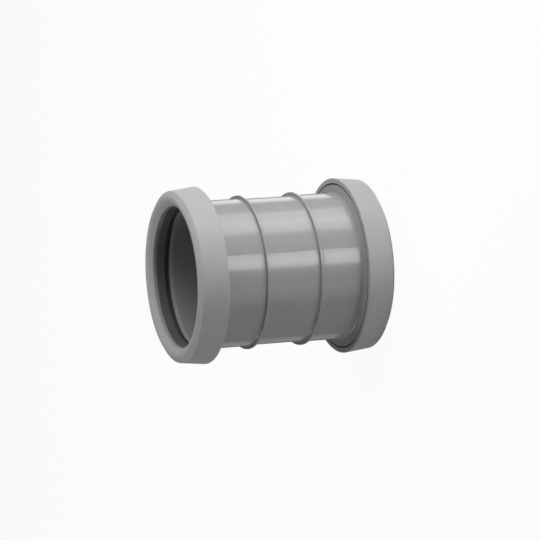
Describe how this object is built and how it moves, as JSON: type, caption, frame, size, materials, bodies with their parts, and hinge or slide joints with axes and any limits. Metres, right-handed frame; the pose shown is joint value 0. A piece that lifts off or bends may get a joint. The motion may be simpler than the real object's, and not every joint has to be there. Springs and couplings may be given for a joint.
{
  "type": "drain pipe slip coupling",
  "caption": "Straight ribbed sleeve that joins drain pipes: its open bore slides over the pipe, and a ring seal sits in each wide end behind a round-nosed snap cap.",
  "frame": {"origin": "on the bore's axis, in the plane of the lower cap's nose, on which the coupling stands", "axes": "+Z along the bore, from the lower mouth to the upper mouth; the part is round, so X and Y may point any way"},
  "size_m": [0.1406, 0.1406, 0.164],
  "materials": {
    "moulded_body": "semi-gloss moulded grey plastic",
    "moulded_cap": "fine matte moulded grey plastic",
    "seal_rubber": "smooth black rubber with a slight sheen"
  },
  "bodies": {
    "root": {"body": "moulded_body", "upper_cap": "moulded_cap", "lower_cap": "moulded_cap", "upper_seal": "seal_rubber", "lower_seal": "seal_rubber"}
  },
  "joints": []
}
